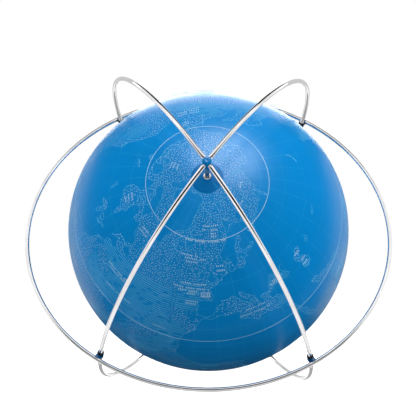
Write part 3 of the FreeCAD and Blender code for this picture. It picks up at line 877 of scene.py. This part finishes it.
def on_sphere(places):
    """Unit vectors, one row each, of places given as longitude and latitude in degrees."""
    turned = np.radians(np.asarray(places, float))
    azimuth, latitude = turned[..., 0] + MAP_TURN, turned[..., 1]
    return np.stack(
        (np.cos(azimuth) * np.cos(latitude), np.sin(azimuth) * np.cos(latitude), np.sin(latitude)), -1
    )


def on_map(points):
    """Longitude and latitude in degrees of unit vectors."""
    longitude = np.degrees(np.arctan2(points[:, 1], points[:, 0]) - MAP_TURN)
    latitude = np.degrees(np.arcsin(np.clip(points[:, 2], -1, 1)))
    return np.column_stack(((longitude + 180) % 360 - 180, latitude))


def unit(vectors):
    return vectors / np.linalg.norm(vectors, axis=-1, keepdims=True)


def roughened(outline, chance):
    """A closed outline whose long edges are broken again and again by a sideways shift."""
    line = on_sphere(outline)
    while True:
        after = np.roll(line, -1, axis=0)
        edge = after - line
        too_long = np.linalg.norm(edge, axis=1) > COAST_STEP
        if not too_long.any():
            return line
        shift = chance.uniform(-COAST_ROUGHNESS, COAST_ROUGHNESS, (len(line), 1))
        middle = unit((line + after) / 2 + np.cross(line, edge) * shift)
        kept = np.column_stack((np.ones(len(line), bool), too_long)).ravel()
        line = np.stack((line, middle), 1).reshape(-1, 3)[kept]


def fill(raster, line, value):
    """Mark every cell of the raster whose middle is inside a closed outline."""
    places = on_map(line)
    longitude = np.unwrap(places[:, 0], period=360)
    latitude = places[:, 1]
    if abs(longitude[-1] - longitude[0]) > 180:
        longitude = np.concatenate((longitude, (longitude[-1], longitude[0])))
        latitude = np.concatenate((latitude, (-91, -91)))
    next_longitude, next_latitude = np.roll(longitude, -1), np.roll(latitude, -1)
    for row in range(ROWS):
        level = (row + 0.5) * RASTER - 90
        crossing = (latitude > level) != (next_latitude > level)
        if not crossing.any():
            continue
        share = (level - latitude[crossing]) / (next_latitude[crossing] - latitude[crossing])
        meets = longitude[crossing] + share * (next_longitude[crossing] - longitude[crossing])
        meets = np.sort(meets).reshape(-1, 2)
        for start, end in np.rint((meets + 180) / RASTER).astype(int):
            raster[row, np.arange(start, end) % COLUMNS] = value


def is_sea(raster, longitude, latitude):
    row = np.clip(((latitude + 90) / RASTER).astype(int), 0, ROWS - 1)
    column = ((longitude + 180) / RASTER).astype(int) % COLUMNS
    open_sea = ~raster[row, column]
    return open_sea & (np.abs(latitude) < CAP_EDGE) & (np.abs(latitude) > SEAM)


class Print:
    """Gathers one kind of mark: low closed ribbons that follow lines drawn on the globe."""

    def __init__(self, width, height):
        self.half_width = width * MM / 2
        self.top = height * MM
        self.corners, self.faces, self.count = [], [], 0

    def line(self, points, closed=False):
        """Lay a ribbon along unit vectors."""
        points = np.asarray(points)
        if closed:
            run = np.roll(points, -1, axis=0) - np.roll(points, 1, axis=0)
        else:
            run = np.gradient(points, axis=0)
        side = unit(np.cross(points, run)) * self.half_width
        low = points * (GLOBE_RADIUS + INK_FOOT)
        high = points * (GLOBE_RADIUS + self.top)
        self.corners.append(np.stack((low - side, high - side, high + side, low + side), 1).reshape(-1, 3))
        stations = len(points)
        first = self.count + 4 * np.arange(stations if closed else stations - 1)[:, None]
        second = self.count + (first - self.count + 4) % (4 * stations)
        corner = np.arange(4)
        following = (corner + 1) % 4
        quads = np.stack((first + corner, first + following, second + following, second + corner), -1)
        self.faces.append(quads.reshape(-1, 4))
        if not closed:
            last = self.count + 4 * (stations - 1)
            self.faces.append(np.array([self.count + corner[::-1], last + corner]))
        self.count += 4 * stations

    def mesh(self, name):
        made = bpy.data.meshes.new(name)
        made.from_pydata(np.concatenate(self.corners).tolist(), [], np.concatenate(self.faces).tolist())
        made.validate()
        return made


def dots_mesh(name, points):
    """Low six-sided studs of ink at unit vectors."""
    sides, reach = 6, DOT_WIDTH * MM / 2
    east = unit(np.cross((0.0, 0.0, 1.0), points))
    north = np.cross(points, east)
    angles = np.arange(sides) * math.tau / sides
    rim = (
        points[:, None] * (GLOBE_RADIUS + INK_FOOT)
        + east[:, None] * (np.cos(angles) * reach)[:, None]
        + north[:, None] * (np.sin(angles) * reach)[:, None]
    )
    foot = points * (GLOBE_RADIUS + INK_FOOT)
    crown = points * (GLOBE_RADIUS + DOT_HEIGHT * MM)
    corners = np.concatenate((rim, foot[:, None], crown[:, None]), 1).reshape(-1, 3)
    each = np.arange(sides)
    after = (each + 1) % sides
    up = np.stack((each, after, np.full(sides, sides + 1)), -1)
    down = np.stack((after, each, np.full(sides, sides)), -1)
    start = np.arange(len(points))[:, None, None] * (sides + 2)
    faces = (start + np.concatenate((up, down))).reshape(-1, 3)
    made = bpy.data.meshes.new(name)
    made.from_pydata(corners.tolist(), [], faces.tolist())
    made.validate()
    return made


def parallel(latitude, start=-180, end=180, step=1.0):
    """Points along a circle of latitude. A full turn leaves the doubled end out."""
    full = end - start >= 360
    stations = max(2, round((end - start) / step) + 1)
    longitudes = np.linspace(start, end, stations)
    if full:
        longitudes = longitudes[:-1]
    return on_sphere(np.column_stack((longitudes, np.full(len(longitudes), latitude))))


def meridian(longitude, start, end):
    latitudes = np.linspace(start, end, max(2, round(abs(end - start) / 1.5) + 1))
    return on_sphere(np.column_stack((np.full(len(latitudes), longitude), latitudes)))


def texture_of(longitude, latitude):
    """How the sea is drawn at a place. The lower the value, the fewer the dots.

    The middle of the North Atlantic and the waters off Iberia are mostly ruled. The far north and
    the rest of the north-east Atlantic are dotted.
    """
    value = noise.noise(Vector(on_sphere((longitude, latitude)).tolist()) * TEXTURE_SCALE)
    if -70 < longitude < -22 and 24 < latitude < 46:
        value += 0.55
    elif -21 < longitude < -7 and 39 < latitude < 50:
        value += 0.5
    elif latitude > 60 or (-50 < longitude < 0 and latitude > 40):
        value = min(max(value, -0.18), 0.05)
    return value


def fill_the_sea(raster, chance):
    """Rows along the parallels: broken ruled lines in some waters, dots in the others."""
    ruled = Print(width=0.46, height=0.04)
    dots = []
    for latitude in np.arange(-LAST_ROW + ROW_STEP / 2, LAST_ROW, ROW_STEP):
        around = max(6, round(360 * math.cos(math.radians(latitude)) / ROW_STEP))
        longitudes = np.arange(around + 1) * 360 / around - 180
        wet = is_sea(raster, longitudes, np.full(around + 1, latitude))
        run = []
        for longitude, open_sea in zip(longitudes, wet):
            texture = texture_of(longitude, latitude) if open_sea else None
            dot_chance = DOT_CHANCE + DOT_SLOPE * texture if open_sea else 0.0
            if open_sea and texture > RULED_ABOVE and chance.random() > GAP_CHANCE:
                run.append((longitude, latitude))
                continue
            if len(run) > 1:
                ruled.line(on_sphere(run))
            run = []
            if open_sea and texture <= RULED_ABOVE and chance.random() < dot_chance:
                nudge = chance.uniform(-DOT_NUDGE, DOT_NUDGE, 2) / (math.cos(math.radians(latitude)), 1)
                dots.append((longitude + nudge[0], latitude + nudge[1]))
        if len(run) > 1:
            ruled.line(on_sphere(run))
    return ruled, on_sphere(dots)


def wander(raster, chance):
    """Depth lines: short curves that keep to one level of a smooth field over the sea."""
    curves = Print(width=0.24, height=0.045)
    stride, reach = 0.012, 0.01
    sines, steps, fewest = (-0.95, 1.0), (5, 14), 4
    for _ in range(DEPTH_LINES):
        start = (chance.uniform(-180, 180), math.degrees(math.asin(chance.uniform(*sines))))
        if start[1] < THIN_SOUTH_OF and chance.random() < THIN_CHANCE:
            continue
        point = Vector(on_sphere(start).tolist())
        path = []
        for _ in range(chance.integers(*steps)):
            place = on_map(np.array([point]))
            if not is_sea(raster, place[:, 0], place[:, 1])[0]:
                break
            path.append(tuple(point))
            here = noise.noise(point * DEPTH_SCALE)
            slope = Vector([
                noise.noise((point + Vector(shift)) * DEPTH_SCALE) - here
                for shift in ((reach, 0, 0), (0, reach, 0), (0, 0, reach))
            ])
            point = (point + point.cross(slope).normalized() * stride).normalized()
        if len(path) >= fewest:
            curves.line(path)
    return curves


def write_rows(chance):
    """Upright bars in rows, with gaps like those between words, where names would be."""
    bars = Print(width=0.62, height=0.06)
    pitch, tall = 1.75 * MM / GLOBE_RADIUS, math.degrees(1.6 * MM / GLOBE_RADIUS)
    word = (4, 9)
    for start, end, latitude in table(NAME_ROWS):
        step = math.degrees(pitch) / math.cos(math.radians(latitude))
        until_gap = chance.integers(*word)
        for longitude in np.arange(start, end, step):
            until_gap -= 1
            if until_gap < 0:
                until_gap = chance.integers(*word)
                continue
            low, high = latitude - tall / 2, latitude + tall / 2
            bars.line(on_sphere(((longitude, low), (longitude, latitude), (longitude, high))))
    west, east, south, north = -7.6, -3.2, 45.2, 46.8
    bars.line(parallel(south, west, east))
    bars.line(parallel(north, west, east))
    bars.line(meridian(west, south, north))
    bars.line(meridian(east, south, north))
    for longitude in np.arange(west + 0.9, east - 0.4, 0.85):
        bars.line(meridian(longitude, south + 0.5, north - 0.5))
    return bars


def print_the_map():
    """The whole print: coasts and lakes, net of lines, main circles, sea texture and rows."""
    chance = np.random.default_rng(MAP_SEED)
    raster = np.zeros((ROWS, COLUMNS), bool)
    coasts = Print(width=0.26, height=0.05)
    for outlines, value in ((COASTS, True), (LAKES, False)):
        for outline in outlines.split("\n\n"):
            line = roughened(table(outline.partition(":")[2]), chance)
            fill(raster, line, value)
            coasts.line(line, closed=True)
    net = Print(width=0.20, height=0.025)
    for latitude in range(-80, 81, 10):
        if latitude:
            net.line(parallel(latitude, step=2.0), closed=True)
    for longitude in range(-180, 180, 10):
        longest = CAP_EDGE if longitude % 30 == 0 else 80
        net.line(meridian(longitude, SEAM, longest))
        net.line(meridian(longitude, -SEAM, -longest))
    circles = Print(width=0.42, height=0.055)
    for latitude in (66.56, 23.44, -23.44, -66.56):
        circles.line(parallel(latitude), closed=True)
    ruled, dots = fill_the_sea(raster, chance)
    curves = wander(raster, chance)
    rows = write_rows(chance)
    marks = (
        ("printed_coastlines", coasts, SEA_INK), ("printed_sea_lines", ruled, SEA_INK),
        ("printed_depth_lines", curves, SEA_INK), ("printed_net", net, FAINT_INK),
        ("printed_main_circles", circles, PALE_INK), ("printed_name_rows", rows, PALE_INK),
    )
    for name, marked, ink in marks:
        add_piece(marked.mesh(name), "globe", ink)
    northern = dots[:, 2] > 0
    for name, points in (("printed_north_dots", dots[northern]), ("printed_south_dots", dots[~northern])):
        add_piece(dots_mesh(name, points), "globe", PALE_INK)


PALE_INK = plastic_finish(
    "pale_ink", (0.46, 0.76, 0.92, 1), (0.60, 0.86, 0.96, 1), (0.66, 0.88, 0.97, 1), (0.40, 0.50), 1500.0
)
SEA_INK = plastic_finish(
    "sea_ink", (0.11, 0.53, 0.84, 1), (0.20, 0.62, 0.89, 1), (0.32, 0.70, 0.92, 1), (0.40, 0.50), 1500.0
)
FAINT_INK = plastic_finish(
    "faint_ink", (0.03, 0.38, 0.75, 1), (0.06, 0.43, 0.81, 1), (0.12, 0.49, 0.84, 1), (0.40, 0.50), 1500.0
)
print_the_map()


# ---- the studio -------------------------------------------------------------------------

PAPER, DIM = 1.0, 0.02
CAMERA_DISTANCE = 1.2329
CAMERA_AZIMUTH, CAMERA_ELEVATION = math.radians(0.784), math.radians(-1.338)
CAMERA_AIM = Euler([math.radians(turn) for turn in (1.1315, 0.0249, 0.8816)])
CAMERA_LENS = 98.92


def place_camera():
    """The camera looks at the globe's centre, and then a little aside."""
    camera_data = bpy.data.cameras.new("camera")
    camera_data.lens = CAMERA_LENS
    camera_data.sensor_width = 36.0
    camera = bpy.data.objects.new("camera", camera_data)
    bpy.context.scene.collection.objects.link(camera)
    backward = towards(CAMERA_AZIMUTH, CAMERA_ELEVATION)
    camera.location = CENTRE + backward * CAMERA_DISTANCE
    turn = (-backward).to_track_quat("-Z", "Y").to_matrix() @ CAMERA_AIM.to_matrix()
    camera.rotation_euler = turn.to_euler()
    bpy.context.scene.camera = camera


# Round lights that give the matt colour and no sheen: azimuth from the camera's side towards the
# right, elevation, radius in degrees and brightness.
SOFT_LIGHTS = {
    "ceiling_light": (0, 90, 28, 2.8),
    "left_wall_light": (-75, 15, 38, 1.16),
    "right_wall_light": (75, 15, 38, 1.76),
    "front_wall_light": (0, -4, 25, 1.30),
    "left_floor_light": (-60, -40, 32, 0.36),
    "right_floor_light": (60, -40, 32, 0.14),
    "back_left_light": (-130, 0, 32, 0.21),
}
# Round lights that give the sheen on the plastic and nothing else, in the same order.
SHEEN_LIGHTS = {
    "key": (20, 58, 23, 5.1),
    "high_back_wall": (180, 45, 22, 1.2),
    "back_wall": (180, 22, 20, 4.0),
    "back_left_wall": (-138, 0, 24, 0.55),
    "back_right_wall": (138, 0, 24, 0.50),
}
# What the names of the metal pieces start with.
ARM_METAL = ("cage_arm", "chromed_", "steel_")
RING_METAL = ("cage_tilted_ring",)
# White boards mirrored only in the metal: azimuth, elevation, width, height and brightness.
WIRE_BOARDS = {
    "left_board": (-90, 26, 2.0, 2.0, 1.0),
    "right_board": (90, 26, 2.0, 2.0, 1.0),
    "back_left_board": (-150, 12, 2.0, 2.4, 0.66),
    "back_right_board": (150, 12, 2.0, 2.4, 0.66),
    "top_board": (0, 60, 2.2, 1.5, 0.98),
}
# White boards that lie just under the table: the metal that mirrors them, their nearest and
# farthest edge along Y, and brightness.
FLOOR_BOARDS = {
    "front_floor_board": (ARM_METAL, -1.5, -0.03, 1.0),
    "back_floor_board": (ARM_METAL, -0.03, 1.5, 0.42),
    "ring_floor_board": (RING_METAL, -0.9, 1.5, 0.66),
}
FLOOR_BOARD_WIDTH = 3.0
BOARD_DISTANCE = 1.6
FLOOR_BOARD_DEPTH = -0.02


def towards(azimuth, elevation):
    """The direction of an azimuth from -Y towards +X and an elevation, both in radians."""
    return Vector((
        math.sin(azimuth) * math.cos(elevation),
        -math.cos(azimuth) * math.cos(elevation),
        math.sin(elevation),
    ))


def paint_the_background():
    """White where the camera looks past the object, and nearly dark for everything else."""
    world = bpy.data.worlds.new("studio")
    bpy.context.scene.world = world
    world.use_nodes = True
    tree = world.node_tree
    tree.nodes.clear()
    dim = add_node(tree, "ShaderNodeBackground", None, Color=(1, 1, 1, 1), Strength=DIM)
    plain = add_node(tree, "ShaderNodeBackground", None, Color=(1, 1, 1, 1), Strength=PAPER)
    seen = tree.nodes.new("ShaderNodeLightPath").outputs["Is Camera Ray"]
    mix = add_node(tree, "ShaderNodeMixShader", None, i0=seen, i1=dim, i2=plain)
    output = tree.nodes.new("ShaderNodeOutputWorld")
    tree.links.new(mix, output.inputs["Surface"])


def hang_light(name, azimuth, elevation, distance, shape, size, brightness):
    """An even panel that faces the globe's centre."""
    light = bpy.data.lights.new(name, "AREA")
    light.shape = shape
    light.size, light.size_y = size
    area = size[0] * size[1] * (math.pi / 4 if shape == "ELLIPSE" else 1)
    light.energy = math.pi * area * brightness
    panel = bpy.data.objects.new(name, light)
    outward = towards(math.radians(azimuth), math.radians(elevation))
    panel.location = CENTRE + outward * distance
    panel.rotation_euler = outward.to_track_quat("Z", "Y").to_euler()
    panel.visible_camera = False
    bpy.context.scene.collection.objects.link(panel)
    return panel


def hang_round_light(name, azimuth, elevation, radius, brightness):
    width = 2 * BOARD_DISTANCE * math.tan(math.radians(radius))
    return hang_light(
        name, azimuth, elevation, BOARD_DISTANCE, "ELLIPSE", (width, width), brightness
    )


def gather(name, pieces):
    """A collection of pieces, for a light that falls on nothing else."""
    collection = bpy.data.collections.new(name)
    for piece in pieces:
        collection.objects.link(piece)
    return collection


def hang_lights():
    """Soft light for everything, sheen for the plastic and boards mirrored in the metal."""
    pieces = [piece for piece in bpy.context.scene.objects if piece.type == "MESH"]
    is_metal = [piece.name.startswith(ARM_METAL + RING_METAL) for piece in pieces]
    metal = gather("metal", [piece for piece, yes in zip(pieces, is_metal) if yes])
    plastic = gather("plastic", [piece for piece, yes in zip(pieces, is_metal) if not yes])
    for name, values in SOFT_LIGHTS.items():
        panel = hang_round_light(name, *values)
        panel.visible_glossy = False
        panel.data.cycles.use_multiple_importance_sampling = False
    for name, values in SHEEN_LIGHTS.items():
        panel = hang_round_light(name, *values)
        panel.visible_diffuse = False
        panel.light_linking.receiver_collection = plastic
    for name, (azimuth, elevation, width, height, brightness) in WIRE_BOARDS.items():
        size = (width, height)
        panel = hang_light(name, azimuth, elevation, BOARD_DISTANCE, "RECTANGLE", size, brightness)
        panel.light_linking.receiver_collection = metal
    for name, (starts, near, far, brightness) in FLOOR_BOARDS.items():
        size = (FLOOR_BOARD_WIDTH, far - near)
        panel = hang_light(name, 0, -90, 0.0, "RECTANGLE", size, brightness)
        panel.location = (0, (near + far) / 2, FLOOR_BOARD_DEPTH)
        chosen = [piece for piece in pieces if piece.name.startswith(starts)]
        panel.light_linking.receiver_collection = gather(name, chosen)


def lay_floor():
    """A wide sheet of glowing white paper. Only the camera sees it, and light passes through."""
    material, tree, shader = new_finish("studio_paper", roughness=0.9, specular_ior_level=0.1)
    coordinates = tree.nodes.new("ShaderNodeTexCoord").outputs["Object"]
    fibre = grain(tree, coordinates, 900.0, 3.0)
    shade = mixed(tree, fibre, (0.93, 0.93, 0.93, 1), (0.97, 0.97, 0.97, 1))
    tree.links.new(shade, shader.inputs["Base Color"])
    shader.inputs["Emission Color"].default_value = (1, 1, 1, 1)
    shader.inputs["Emission Strength"].default_value = PAPER
    reach = 30.0
    mesh = bpy.data.meshes.new("studio_floor")
    corners = [(-reach, -reach, 0), (reach, -reach, 0), (reach, reach, 0), (-reach, reach, 0)]
    mesh.from_pydata(corners, [], [(0, 1, 2, 3)])
    mesh.materials.append(material)
    floor = bpy.data.objects.new("studio_floor", mesh)
    bpy.context.scene.collection.objects.link(floor)
    floor.visible_diffuse = False
    floor.visible_glossy = False
    floor.visible_shadow = False


place_camera()
paint_the_background()
hang_lights()
lay_floor()
bpy.context.scene.view_settings.view_transform = "Standard"
